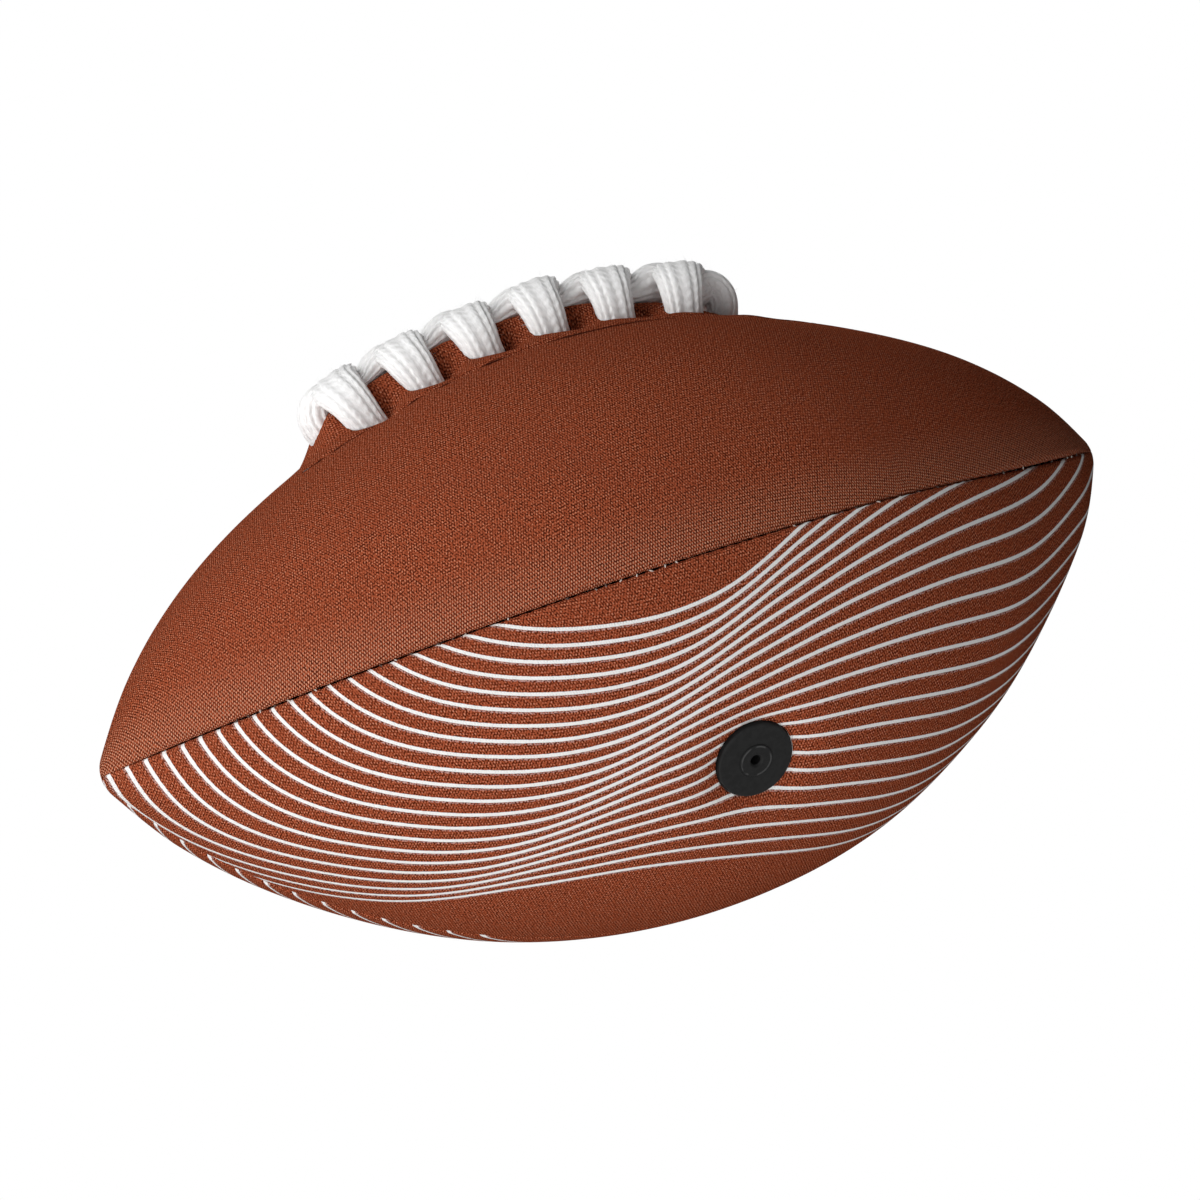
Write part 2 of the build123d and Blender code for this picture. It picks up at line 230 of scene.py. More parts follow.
def crest_angle(station, offset, sink):
    return acos(max(-1.0, min(1.0, (offset - station["centre_a"]) / (station["r"] - sink))))


def below_cover(panel, s, angle, sink):
    a = s["centre_a"] + s["r"] * cos(angle)
    b = s["centre_b"] + s["r"] * sin(angle)
    sink -= cover_relief(panel, s["x"], a, b) * ease(s["r"], 0.0, tip_fade)
    sink = min(sink, s["r"] * deepest_share)
    r = s["r"] - sink * s["slope_r"]
    x = s["x"] - sink * s["slope_x"]
    y = panel[0] * (s["centre_a"] + r * cos(angle))
    z = panel[1] * (s["centre_b"] + r * sin(angle))
    bent = max(x - tip_rise_start, 0.0) / (half_length - tip_rise_start)
    return Vector((x, y, z + tip_rise * bent ** 2))


def cover_point(panel, run, across, depth=0.0):
    s = panel_station(panel, run)
    centre = max(s["roll"], depth + layer_corner)
    inner = max(s["roll"] - depth, layer_corner)
    if across < roll_share:
        turn = across / roll_share * pi / 2
        sink = centre - inner * sin(turn) + s["pull"] * cos(turn)
        angle = side_angle(s, s["side_edge"] + centre - inner * cos(turn), min(sink, s["r"] / 2))
    elif across > 1 - roll_share:
        turn = (1 - across) / roll_share * pi / 2
        sink = centre - inner * sin(turn) + s["pull"] * cos(turn)
        angle = crest_angle(s, s["crest_edge"] + centre - inner * cos(turn), min(sink, s["r"] / 2))
    else:
        share = (across - roll_share) / (1 - 2 * roll_share)
        sink = depth
        low = side_angle(s, s["side_edge"] + centre, 0.0)
        high = crest_angle(s, s["crest_edge"] + centre, 0.0)
        angle = low + (high - low) * share
    return below_cover(panel, s, angle, sink)


def cover_girth(panel, run, across):
    s = panel_station(panel, run)
    low = side_angle(s, s["side_edge"] + s["roll"], 0.0)
    high = crest_angle(s, s["crest_edge"] + s["roll"], 0.0)
    body = s["r"] * (high - low)
    bend = s["roll"] * pi / 2
    if across < roll_share:
        return body / 2 + bend * (1 - across / roll_share)
    if across > 1 - roll_share:
        return -body / 2 - bend * (1 - (1 - across) / roll_share)
    return body * (0.5 - (across - roll_share) / (1 - 2 * roll_share))


# The pinstripes, printed in white on the two lower panels: evenly stepped copies of one wave line, laid
# aslant over the cut. stripe_phase() counts the lines; a whole number is the middle of a line.
stripe_count = 22
stripe_step = 3.0
stripe_spread = 0.0043
stripe_slant = 1.1
stripe_wave = (
    (-125, 54), (-85, 40.5), (-60, 37.6), (-43, 39.2), (-28, 46),
    (-8, 49.4), (20, 47.1), (60, 38.1), (100, 29), (150, 8),
)


def along_wave(value):
    place = 1
    while place < len(stripe_wave) - 3 and value > stripe_wave[place + 1][0]:
        place += 1
    (x0, y0), (x1, y1), (x2, y2), (x3, y3) = stripe_wave[place - 1:place + 3]
    share = (value - x1) / (x2 - x1)
    start = (y2 - y0) / (x2 - x0) * (x2 - x1)
    end = (y3 - y1) / (x3 - x1) * (x2 - x1)
    return (
        y1 * (2 * share ** 3 - 3 * share ** 2 + 1) + start * (share ** 3 - 2 * share ** 2 + share)
        + y2 * (3 * share ** 2 - 2 * share ** 3) + end * (share ** 3 - share ** 2)
    )


def stripe_phase(x, girth):
    slanted = x - stripe_slant * girth
    return (along_wave(slanted) - girth) / (stripe_step + stripe_spread * slanted)


def stripe_place(x, girth):
    small = 0.1
    phase = stripe_phase(x, girth)
    change_x = (stripe_phase(x + small, girth) - phase) / small
    change_y = (stripe_phase(x, girth + small) - phase) / small
    return phase, 1 / max(sqrt(change_x ** 2 + change_y ** 2), small)


# The knit: a fine brown polyester jersey, bonded to the foam. Its loops lie in rows along the ball, with a
# painted shade dark between the loops and a painted highlight pale on their heads. On the upper panels the
# loop heads turn paler toward the side seams, and a painted shade darkens the groove of the topstitching.
knit_row = 0.62
knit_loop = 0.52
knit_roughness = 0.78
loop_height, line_height, yarn_height = 0.34, 0.2, 0.6
yarn_grain, yarn_edge = 2.7, (0.3, 0.7)
cloud_grain, cloud_edge, cloud_share = 0.05, (0.35, 0.65), 0.16
# Painted light in the knit: a painted shade, dark between the loops, and a painted highlight, pale on their
# heads.
pit_shade_edge = (0.08, 0.52)
head_highlight_edge, head_highlight_share = (0.62, 1.05), 0.7
knit_pit_shade, knit_brown, knit_head_highlight = (0.062, 0.011, 0.0046), (0.33, 0.072, 0.030), (0.74, 0.34, 0.21)
knit_cloud = (0.225, 0.048, 0.0205)
knit_bump, knit_bump_strength = 0.00012, 0.8
stripe_white, stripe_edge = (0.80, 0.79, 0.78), (0.27, 0.40)
stripe_grain, stripe_jitter = 1.2, 0.16
smear_grey, smear_edge, smear_share = (0.50, 0.34, 0.31), (0.08, 0.26), 0.75
smear_shift, smear_yarn = 0.55, (0.2, 0.8)
# A painted shade darkens the knit along the topstitch groove.
groove_painted_shade, groove_shade_edge, groove_shade_share = (0.03, 0.007, 0.004), (0.3, 0.65), 0.85
# The loop heads turn paler toward the side seams, within this reach in millimetres.
seam_side_pale, seam_side_reach = (0.78, 0.53, 0.37), (1.5, 14.0)
head_edge, head_share = (0.25, 0.8), 0.40


def add_node(material, kind, **settings):
    node = material.node_tree.nodes.new(kind)
    for name, value in settings.items():
        setattr(node, name, value)
    return node


def join(material, source, target):
    material.node_tree.links.new(source, target)


def formula(material, operation, first, second=0.0):
    node = add_node(material, "ShaderNodeMath", operation=operation)
    for value, socket in zip((first, second), node.inputs):
        if isinstance(value, (int, float)):
            socket.default_value = value
        else:
            join(material, value, socket)
    return node.outputs[0]


def fade(material, value, low, high, start=0.0, end=1.0):
    node = add_node(material, "ShaderNodeMapRange", interpolation_type="SMOOTHSTEP")
    join(material, value, node.inputs["Value"])
    for name, number in (("From Min", low), ("From Max", high), ("To Min", start), ("To Max", end)):
        node.inputs[name].default_value = number
    return node.outputs[0]


def tint(material, share, first, second):
    node = add_node(material, "ShaderNodeMix", data_type="RGBA")
    join(material, share, node.inputs[0])
    for value, socket in zip((first, second), (node.inputs[6], node.inputs[7])):
        if isinstance(value, tuple):
            socket.default_value = (*value, 1.0)
        else:
            join(material, value, socket)
    return node.outputs[2]


def new_material(name, roughness):
    material = bpy.data.materials.new(name)
    material.use_nodes = True
    surface = material.node_tree.nodes["Principled BSDF"]
    surface.inputs["Roughness"].default_value = roughness
    return material, surface


def bump(material, surface, height, distance, strength=1.0):
    node = add_node(material, "ShaderNodeBump")
    node.inputs["Strength"].default_value = strength
    node.inputs["Distance"].default_value = distance
    join(material, height, node.inputs["Height"])
    join(material, node.outputs["Normal"], surface.inputs["Normal"])


def on_map(material, name):
    node = add_node(material, "ShaderNodeUVMap", uv_map=name)
    split = add_node(material, "ShaderNodeSeparateXYZ")
    join(material, node.outputs["UV"], split.inputs[0])
    return node.outputs["UV"], split.outputs["X"], split.outputs["Y"]


def speckle(material, vector, scale, detail=2.0):
    node = add_node(material, "ShaderNodeTexNoise")
    node.inputs["Scale"].default_value = scale
    node.inputs["Detail"].default_value = detail
    join(material, vector, node.inputs["Vector"])
    return node.outputs["Fac"]


def weighted(material, *parts):
    total = None
    for value, weight in parts:
        value = formula(material, "MULTIPLY", value, weight)
        total = value if total is None else formula(material, "ADD", total, value)
    return total


def print_stripes(material, colour, place, yarn):
    phase, step = on_map(material, "print")[1:]
    nearest = formula(material, "MAXIMUM", formula(material, "ROUND", phase), 0.0)
    nearest = formula(material, "MINIMUM", nearest, stripe_count - 1.0)
    aside = formula(material, "MULTIPLY", formula(material, "SUBTRACT", phase, nearest), step)
    stray = formula(material, "SUBTRACT", speckle(material, place, stripe_grain), 0.5)
    aside = formula(material, "ADD", aside, formula(material, "MULTIPLY", stray, stripe_jitter))
    beside = formula(material, "ABSOLUTE", formula(material, "SUBTRACT", aside, smear_shift))
    smear = fade(material, beside, *smear_edge, smear_share, 0.0)
    smear = formula(material, "MULTIPLY", smear, fade(material, yarn, *smear_yarn))
    colour = tint(material, smear, colour, smear_grey)
    white = fade(material, formula(material, "ABSOLUTE", aside), *stripe_edge, 1.0, 0.0)
    return tint(material, white, colour, stripe_white)


# Marks of the upper panels: a painted shade in the topstitch groove, and loop heads paler toward the side
# seams.
def seam_pale_and_groove_shade(material, colour, loop):
    from_seam, from_row = on_map(material, "print")[1:]
    # Painted shade: a dark line along the topstitch row, where the groove lies in shade.
    groove_shade = fade(material, formula(material, "ABSOLUTE", from_row), *groove_shade_edge, groove_shade_share, 0.0)
    colour = tint(material, groove_shade, colour, groove_painted_shade)
    # The loop heads grow paler toward the side seam.
    near_seam = fade(material, from_seam, *seam_side_reach, 1.0, 0.0)
    head = formula(material, "MULTIPLY", fade(material, loop, *head_edge), head_share)
    return tint(material, formula(material, "MULTIPLY", near_seam, head), colour, seam_side_pale)


def knit_material(name, printed):
    material, surface = new_material(name, knit_roughness)
    surface.inputs["Specular IOR Level"].default_value = 0.0
    place, run, girth = on_map(material, "knit")
    column = formula(material, "COSINE", formula(material, "MULTIPLY", run, 2 * pi / knit_loop))
    row = formula(material, "COSINE", formula(material, "MULTIPLY", girth, pi / knit_row))
    loop = formula(material, "MULTIPLY", column, row)
    line = formula(material, "MULTIPLY", row, row)
    yarn = fade(material, speckle(material, place, yarn_grain, 1.0), *yarn_edge)
    height = weighted(material, (loop, loop_height), (line, line_height), (yarn, yarn_height))
    # Painted shade: the knit turns dark where it is low, between the loops.
    colour = tint(material, fade(material, height, *pit_shade_edge), knit_pit_shade, knit_brown)
    # Painted highlight: the knit turns pale where it is high, on the loop heads.
    colour = tint(material, fade(material, height, *head_highlight_edge, 0.0, head_highlight_share), colour, knit_head_highlight)
    cloud = fade(material, speckle(material, place, cloud_grain, 1.0), *cloud_edge, 0.0, cloud_share)
    colour = tint(material, cloud, colour, knit_cloud)
    if printed:
        colour = print_stripes(material, colour, place, yarn)
    else:
        colour = seam_pale_and_groove_shade(material, colour, loop)
    join(material, colour, surface.inputs["Base Color"])
    bump(material, surface, height, knit_bump, knit_bump_strength)
    return material


# The four face cloths. Each is cut as a pointed oval, bonded to its foam and sewn to its neighbours inside
# out; the upper two have lace holes and the slit, the lower front one the hole for the valve.
face_thickness = 0.6
panel_rows = 300
panel_columns = 84
roll_rows = 7
valve_gap = 0.15
valve_cut_sides = 96
cut_depth = 16.0
slot_width = 7.4
slot_thickness = 4.4
slot_corner = 1.5
slot_corner_steps = 4
upright_share = 0.9
area_strips = 200
knits = {1: knit_material("knit_plain_brown", False), -1: knit_material("knit_pinstriped", True)}


def make_piece(name, material, make):
    mesh = bpy.data.meshes.new(name)
    piece = bpy.data.objects.new(name, mesh)
    bpy.context.scene.collection.objects.link(piece)
    bm = bmesh.new()
    make(bm)
    bm.to_mesh(mesh)
    bm.free()
    mesh.materials.append(material)
    mesh.shade_smooth()
    return piece


def row_across(place):
    edge = roll_rows / panel_columns
    if place < edge:
        return roll_share * place / edge
    if place > 1 - edge:
        return 1 - roll_share * (1 - place) / edge
    return roll_share + (1 - 2 * roll_share) * (place - edge) / (1 - 2 * edge)


def cut_out(piece, make):
    cutter = make_piece(piece.name + "_cutter", piece.data.materials[0], make)
    tool = piece.modifiers.new("opening", "BOOLEAN")
    tool.operation = "DIFFERENCE"
    tool.solver = "EXACT"
    tool.object = cutter
    bpy.context.view_layer.objects.active = piece
    for modifier in list(piece.modifiers):
        bpy.ops.object.modifier_apply(modifier=modifier.name)
    bpy.data.objects.remove(cutter)
    piece.data.shade_smooth()


def valve_cutter(bm):
    upright = valve_out.to_track_quat("Z", "X").to_matrix().to_4x4()
    middle = Matrix.Translation(spot(valve_out * axis_height)) @ upright
    radius = (valve_disc_radius + valve_gap) * METRE
    bmesh.ops.create_cone(
        bm, cap_ends=True, segments=valve_cut_sides, radius1=radius, radius2=radius,
        depth=cut_depth * METRE, matrix=middle,
    )


def slot_cutter(bm, side_y):
    for place in wrap_places:
        angle = (place + side_y * wrap_lean) / waist_arc_radius
        out = Vector((sin(angle), 0, cos(angle)))
        wide = Vector((cos(angle), 0, -sin(angle)))
        middle = out * waist_arc_radius + Vector((0, side_y * hole_row, lobe_side - lace_draw + waist_drop))
        sides = Matrix((wide * slot_width, out.cross(wide) * slot_thickness, out * cut_depth))
        laid = Matrix.Translation(spot(middle)) @ sides.transposed().to_4x4()
        made = bmesh.ops.create_cube(bm, size=METRE, matrix=laid)
        upright = []
        for edge in dict.fromkeys(edge for vert in made["verts"] for edge in vert.link_edges):
            along = (edge.verts[0].co - edge.verts[1].co).normalized()
            if abs(along.dot(out)) > upright_share:
                upright.append(edge)
        bmesh.ops.bevel(
            bm, geom=upright, offset=slot_corner * METRE, affect="EDGES",
            segments=slot_corner_steps, profile=0.5, material=-1,
        )


def make_face(bm, panel):
    knit = bm.loops.layers.uv.new("knit")
    stripes = bm.loops.layers.uv.new("print")
    bmesh.ops.create_grid(bm, x_segments=panel_rows, y_segments=panel_columns, size=1)
    laid = {}
    for vert in bm.verts:
        run = vert.co.x * half_run
        across = row_across((vert.co.y + 1) / 2)
        girth = cover_girth(panel, run, across)
        x = on_meridian(run)[0]
        place = cover_point(panel, run, across)
        if panel[1] > 0:
            from_row = abs(place.y) - placket_row(x) if abs(x) < placket_end else row_crest
            mark = (cover_girth(panel, run, 0.0) - girth, from_row)
        else:
            mark = stripe_place(-panel[0] * x, girth)
        laid[vert] = (run, girth), mark, spot(place)
    for face in bm.faces:
        for loop in face.loops:
            loop[knit].uv, loop[stripes].uv = laid[loop.vert][:2]
    for vert, (flat, mark, place) in laid.items():
        vert.co = place
    if panel[0] * panel[1] > 0:
        bmesh.ops.reverse_faces(bm, faces=bm.faces)


def face_area(panel):
    step = 2 * half_run / area_strips
    widths = [2 * cover_girth(panel, -half_run + step * (i + 0.5), 0.0) for i in range(area_strips)]
    return sum(widths) * step * METRE ** 2, max(widths) * METRE


for name, panel in panels.items():
    face = make_piece("panel_" + name + "_knit", knits[panel[1]], lambda bm: make_face(bm, panel))
    wall = face.modifiers.new("thickness", "SOLIDIFY")
    wall.thickness = face_thickness * METRE
    wall.offset = -1
    if panel[1] > 0:
        cut_out(face, lambda bm: slot_cutter(bm, panel[0]))
    elif panel[0] < 0:
        cut_out(face, valve_cutter)
    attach(face, "ball")
    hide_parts("panel_" + name)
    area, width = face_area(panel)

# The foam behind each face cloth: 2.4 mm of black neoprene foam, cut to the same oval and bonded to the
# cloth all over. Its edges turn in at the seams with the cloth, and its cut edge shows at the valve.
foam_start = 0.65
foam_end = 3.0
foam_rows = 100
foam_columns = 40
foam_reach = 0.93
pore_shade = 0.6
pore_edge = (0.35, 0.65)


def rough_black(name, colour, roughness, grain, depth):
    material, surface = new_material(name, roughness)
    surface.inputs["Specular IOR Level"].default_value = 0.12
    place = add_node(material, "ShaderNodeTexCoord")
    grains = speckle(material, place.outputs["Object"], grain, 3.0)
    darker = tuple(value * pore_shade for value in colour)
    shade = tint(material, fade(material, grains, *pore_edge), darker, colour)
    join(material, shade, surface.inputs["Base Color"])
    bump(material, surface, grains, depth, 0.6)
    return material


def make_foam(bm, panel):
    bmesh.ops.create_grid(bm, x_segments=foam_rows, y_segments=foam_columns, size=1)
    outer = bm.faces[:]
    flat = bm.verts[:]
    grown = bmesh.ops.extrude_face_region(bm, geom=outer + bm.edges[:], use_keep_orig=True)["geom"]
    inner = [part for part in grown if isinstance(part, bmesh.types.BMVert)]
    for verts, depth in ((flat, foam_start), (inner, foam_end)):
        for vert in verts:
            run = vert.co.x * half_run * foam_reach
            across = row_across((vert.co.y + 1) / 2)
            vert.co = spot(cover_point(panel, run, across, depth))
    bmesh.ops.recalc_face_normals(bm, faces=bm.faces)
    middle = outer[len(outer) // 2]
    middle.normal_update()
    if middle.normal.dot(middle.calc_center_median() - spot((0, 0, 0))) < 0:
        bmesh.ops.reverse_faces(bm, faces=bm.faces)


foam = rough_black("neoprene_foam", (0.02, 0.02, 0.02), roughness=0.9, grain=1800.0, depth=0.00008)
for name, panel in panels.items():
    backing = make_piece("foam_" + name + "_sheet", foam, lambda bm: make_foam(bm, panel))
    if panel[1] > 0:
        cut_out(backing, lambda bm: slot_cutter(bm, panel[0]))
    elif panel[0] < 0:
        cut_out(backing, valve_cutter)
    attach(backing, "ball")
    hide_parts("foam_" + name)

# The seam threads: dark twisted polyester, pulled tight inside the folds. Where the cover is blown up, a
# short bar of each stitch shows at the bottom of the groove, some of them worn pale.
bar_length, bar_spread = 0.9, (0.7, 1.3)
bar_thickness = 0.34
bar_share = 0.45
bar_turn_in = 0.42
bar_stray = 0.5
bar_lean = (0.0, 0.4)
bar_end_margin = 7.0
worn_grain, worn_start, worn_full = 260.0, 0.62, 0.66
seams = {
    "front": (("front_bottom", "front_top"), False, (-1, 1)),
    "bottom": (("front_bottom", "back_bottom"), True, (-1, 1)),
    "back": (("back_bottom", "back_top"), False, (-1, 1)),
    "top_left": (("front_top", "back_top"), True, (-1, 0)),
    "top_right": (("front_top", "back_top"), True, (0, 1)),
}


def thread_material(name, colour, pale, share):
    material, surface = new_material(name, 0.6)
    place = add_node(material, "ShaderNodeTexCoord")
    worn = speckle(material, place.outputs["Object"], worn_grain)
    picked = fade(material, worn, worn_start - share, worn_full - share)
    join(material, tint(material, picked, colour, pale), surface.inputs["Base Color"])
    return material


def add_stitch(bm, place, along, out, length, thickness):
    along = along.normalized()
    side = along.cross(out).normalized()
    sides = Matrix((along * length / 2, side * thickness / 2, side.cross(along) * thickness / 2))
    laid = Matrix.Translation(spot(place)) @ sides.transposed().to_4x4()
    bmesh.ops.create_icosphere(bm, subdivisions=1, radius=METRE, matrix=laid)


def make_bars(bm, pair, at_crest, ends):
    across = roll_share * bar_turn_in
    if at_crest:
        across = 1 - across
    first, second = (panels[name] for name in pair)
    count = int(half_run / seam_stitch)
    for i in range(ends[0] * count, ends[1] * count + 1):
        run = (i + 0.5) * seam_stitch
        x = on_meridian(run)[0]
        at_lacing = 0 in ends and abs(x) < lace_half_length
        if at_lacing or abs(x) > half_length - bar_end_margin:
            continue
        if bar_chance.random() > bar_share:
            continue
        low = cover_point(first, run + bar_chance.uniform(-bar_stray, bar_stray), across)
        high = cover_point(second, run + bar_chance.uniform(-bar_stray, bar_stray), across)
        middle = low.lerp(high, bar_chance.uniform(*bar_lean))
        out = Vector((0, middle.y, middle.z)).normalized()
        length = bar_length * bar_chance.uniform(*bar_spread)
        add_stitch(bm, middle, high - low, out, length, bar_thickness)


bar_chance = random.Random(5)
seam_thread = thread_material("seam_thread_dark", (0.05, 0.025, 0.017), (0.55, 0.48, 0.43), 0.14)
for name, (pair, at_crest, ends) in seams.items():
    bars = make_piece("seam_bars_" + name, seam_thread, lambda bm: make_bars(bm, pair, at_crest, ends))
    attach(bars, "ball")
    frame["nodes"]["seam_thread_" + name].data.materials[0] = seam_thread

# The placket's facings: a strip of brown cloth behind each edge of the slit, held by a row of topstitching
# through the panel, which bows out beside the middle wraps. Its stitches show in a groove on the outside.
facing_depth = 3.05
facing_thickness = 1.2
facing_margin = 2.0
facing_edge = 1.6
topstitch = 4.0
topstitch_length = 2.3
topstitch_thickness = 0.42
topstitch_depth = 0.05
topstitch_ahead = 1.0
facing_rows = 80
facing_columns = 14
run_halvings = 30
weave_grain, weave_shade, weave_edge = 1500.0, 0.45, (0.35, 0.6)


def cloth_material(name, colour):
    material, surface = new_material(name, 0.85)
    place = add_node(material, "ShaderNodeTexCoord")
    weave = speckle(material, place.outputs["Object"], weave_grain)
    darker = tuple(value * weave_shade for value in colour)
    shade = tint(material, fade(material, weave, *weave_edge), darker, colour)
    join(material, shade, surface.inputs["Base Color"])
    bump(material, surface, weave, 0.0001, 0.6)
    return material


def waist_run(x):
    low, high = -half_run, half_run
    for step in range(run_halvings):
        middle = (low + high) / 2
        if on_meridian(middle)[0] < x:
            low = middle
        else:
            high = middle
    return (low + high) / 2


def layer_point(panel, x, a, depth):
    station = panel_station(panel, waist_run(x))
    return below_cover(panel, station, crest_angle(station, a, 0.0), depth)


def facing_width(x):
    return placket_row(x) + facing_margin - facing_edge


def make_facing(bm, panel):
    bmesh.ops.create_grid(bm, x_segments=facing_rows, y_segments=facing_columns, size=1)
    for vert in bm.verts:
        x = vert.co.x * placket_end
        a = facing_edge + facing_width(x) * (vert.co.y + 1) / 2
        vert.co = spot(layer_point(panel, x, a, facing_depth))
    if panel[0] < 0:
        bmesh.ops.reverse_faces(bm, faces=bm.faces)


def make_topstitches(bm, panel):
    count = int(placket_end / topstitch)
    for i in range(-count, count + 1):
        x = i * topstitch
        ahead = x + topstitch_ahead
        place = layer_point(panel, x, placket_row(x), topstitch_depth)
        along = layer_point(panel, ahead, placket_row(ahead), topstitch_depth) - place
        out = Vector((0, place.y, place.z)).normalized()
        add_stitch(bm, place, along, out, topstitch_length, topstitch_thickness)


facing_cloth = cloth_material("facing_cloth", (0.13, 0.035, 0.015))
topstitch_thread = thread_material("topstitch_brown", (0.05, 0.014, 0.006), (0.45, 0.17, 0.07), 0.03)
for name, side in (("front", "front_top"), ("back", "back_top")):
    panel = panels[side]
    facing = make_piece("lace_facing_" + name + "_cloth", facing_cloth, lambda bm: make_facing(bm, panel))
    wall = facing.modifiers.new("thickness", "SOLIDIFY")
    wall.thickness = facing_thickness * METRE
    wall.offset = -1
    cut_out(facing, lambda bm: slot_cutter(bm, panel[0]))
    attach(facing, "ball")
    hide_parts("lace_facing_" + name)
    stitches = make_piece("facing_stitches_" + name, topstitch_thread, lambda bm: make_topstitches(bm, panel))
    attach(stitches, "ball")
    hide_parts("facing_thread_" + name)

# The tongue: a strip of the same brown cloth that lies loose under the lacing and keeps the lace off the
# bladder. It shows only as the dark ground in the slit.
tongue_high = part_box("lace_tongue")[1]
tongue_half_length = tongue_high.x / METRE
tongue_half_width = tongue_high.y / METRE
tongue_thickness = 0.8
tongue_rows, tongue_columns = 60, 16
tongue_depth = axis_height + lobe_side - lace_draw + panel_radius - tongue_high.z / METRE


def make_tongue(bm):
    bmesh.ops.create_grid(bm, x_segments=tongue_rows, y_segments=tongue_columns, size=1)
    for vert in bm.verts:
        x, r = on_meridian(waist_run(vert.co.x * tongue_half_length))[:2]
        deep = r - tongue_depth
        angle = vert.co.y * tongue_half_width / deep
        vert.co = spot((x, deep * sin(angle), lobe_side - lace_draw + deep * cos(angle)))


tongue = make_piece("lace_tongue_cloth", facing_cloth, make_tongue)
wall = tongue.modifiers.new("thickness", "SOLIDIFY")
wall.thickness = tongue_thickness * METRE
wall.offset = -1
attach(tongue, "ball")
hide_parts("lace_tongue")

# The lace: one soft cotton cord, knitted flat with raised ribs. It comes up at the left, makes six slanting
# wraps through the holes, runs back under the cover and returns along the top inside the wraps, which press
# it down; both its ends bend down through the slit.
lace_base = lobe_side - lace_draw + waist_drop
wrap_crest = 8.8
wrap_climb = 0.026
wrap_slack = (0.9, 0.1, -0.3, 0.5, 0.1, 0.0)
wrap_bow = 2.4
wrap_hook = 2.5
wrap_arch_share = 0.8
wrap_stray = 0.2
wrap_steps, spine_steps = 24, 120
foot_width, foot_thickness = 7.2, 4.2
crest_width, crest_thickness = 9.8, 4.4
under_height = -7.0
under_width, under_thickness = 6.0, 2.4
under_shares = (0.1, 0.9)
foot_rise = 2.0
hole_inset = 2.0
middle_aside = 2.0
tail_back, tail_aside = 2.0, 1.0
spine_width, spine_thickness = 6.6, 6.9
spine_height = 8.1
spine_swell = 0.045
press_reach = 3.6
press_depth = 2.3
press_flat = 3.4
spine_end = 38.0
end_loop = ((38.6, 8.3), (41.0, 7.9), (42.7, 6.2), (43.2, 3.6), (43.0, 1.0), (42.6, -2.0), (42.3, -6.0))
right_loop_share = 0.97
loop_thickness = 5.7
loop_twist = 0.2
cord_step = 0.6
cord_smoothings = 8
least_length = 1e-9
weld_gap = 1e-6
cord_sectors = 84
cord_ribs = 14
cord_rib_share = 0.125
cord_flat_share = 0.76
cord_uneven, cord_uneven_size = 0.06, 5
rib_middle = 0.75
rib_wander, rib_wander_size = 0.6, 17
rib_slope, rib_shift = 2.6, 2.4
ply_length, ply_height = 1.7, 0.3
fibre_stretch = (0.9, 60.0, 1.0)
fibre_edge = (0.15, 0.55)
# The greyer colour is a painted shade in the ply grooves, mixed with random tone from the fibre noise.
cotton_groove_shade, cotton_white = (0.92, 0.915, 0.905), (0.98, 0.975, 0.97)


def lace_place(run, y, height):
    angle = run / waist_arc_radius
    reach = waist_arc_radius + height
    return Vector((reach * sin(angle), y, lace_base + reach * cos(angle)))


def lace_wide(run, along, aside):
    angle = run / waist_arc_radius
    return Vector((along * cos(angle), aside, -along * sin(angle))).normalized()


def lay_wrap(course, place, slack):
    crest = wrap_crest + wrap_climb * place + slack + lace_chance.uniform(-wrap_stray, wrap_stray)
    for i in range(-wrap_steps - 1, wrap_steps + 2):
        turn = max(-1.0, min(1.0, i / wrap_steps)) * pi / 2
        share = abs(sin(turn)) ** wrap_arch_share * (1 if i > 0 else -1)
        rise = max(cos(turn), 0.0) ** wrap_arch_share
        height = crest * rise if abs(i) <= wrap_steps else under_height + foot_rise
        lean = share if share < 0 else share ** wrap_hook
        run = place + wrap_lean * lean - wrap_bow * (1 - share ** 2)
        wide = lace_wide(run, hole_row, -(wrap_lean + 2 * wrap_bow * share) * rise)
        width = foot_width + (crest_width - foot_width) * rise
        thickness = foot_thickness + (crest_thickness - foot_thickness) * rise
        course.append((lace_place(run, hole_row * share, height), wide, width, thickness))


def lay_spine(course):
    flat = Vector((0, 1, 0))
    turned = Vector((1, loop_twist, 0)).normalized()
    for run, height in reversed(end_loop):
        wide = turned if height < 0 else flat
        course.append((lace_place(run * right_loop_share, 0, height), wide, spine_width, loop_thickness))
    for i in range(1, spine_steps):
        run = spine_end * (1 - 2 * i / spine_steps)
        press = max(exp(-((run - place) / press_reach) ** 2) for place in wrap_places)
        tall = spine_thickness + spine_swell * run - press_flat * press
        height = spine_height - press_depth * press
        course.append((lace_place(run, 0, height), flat, spine_width + press_flat / 2 * press, tall))
    for run, height in end_loop:
        course.append((lace_place(-run, 0, height), flat, spine_width, loop_thickness))
    tail = lace_place(-spine_end + tail_back, tail_aside, under_height)
    course.append((tail, flat, under_width, under_thickness))


def lay_under(course, run, y):
    course.append((lace_place(run, y, under_height), lace_wide(run, 1, 0), under_width, under_thickness))


def lay_lace():
    course = []
    first = wrap_places[0] - wrap_lean
    lay_under(course, first, middle_aside)
    lay_under(course, first, -hole_row + hole_inset)
    for i, place in enumerate(wrap_places):
        lay_wrap(course, place, wrap_slack[i])
        start = place + wrap_lean
        end = wrap_places[i + 1] - wrap_lean if i + 1 < wrap_count else end_loop[-1][0]
        last = -hole_row + hole_inset if i + 1 < wrap_count else middle_aside
        for share, y in zip(under_shares, (hole_row - hole_inset, last)):
            lay_under(course, start + (end - start) * share, y)
    lay_spine(course)
    return course


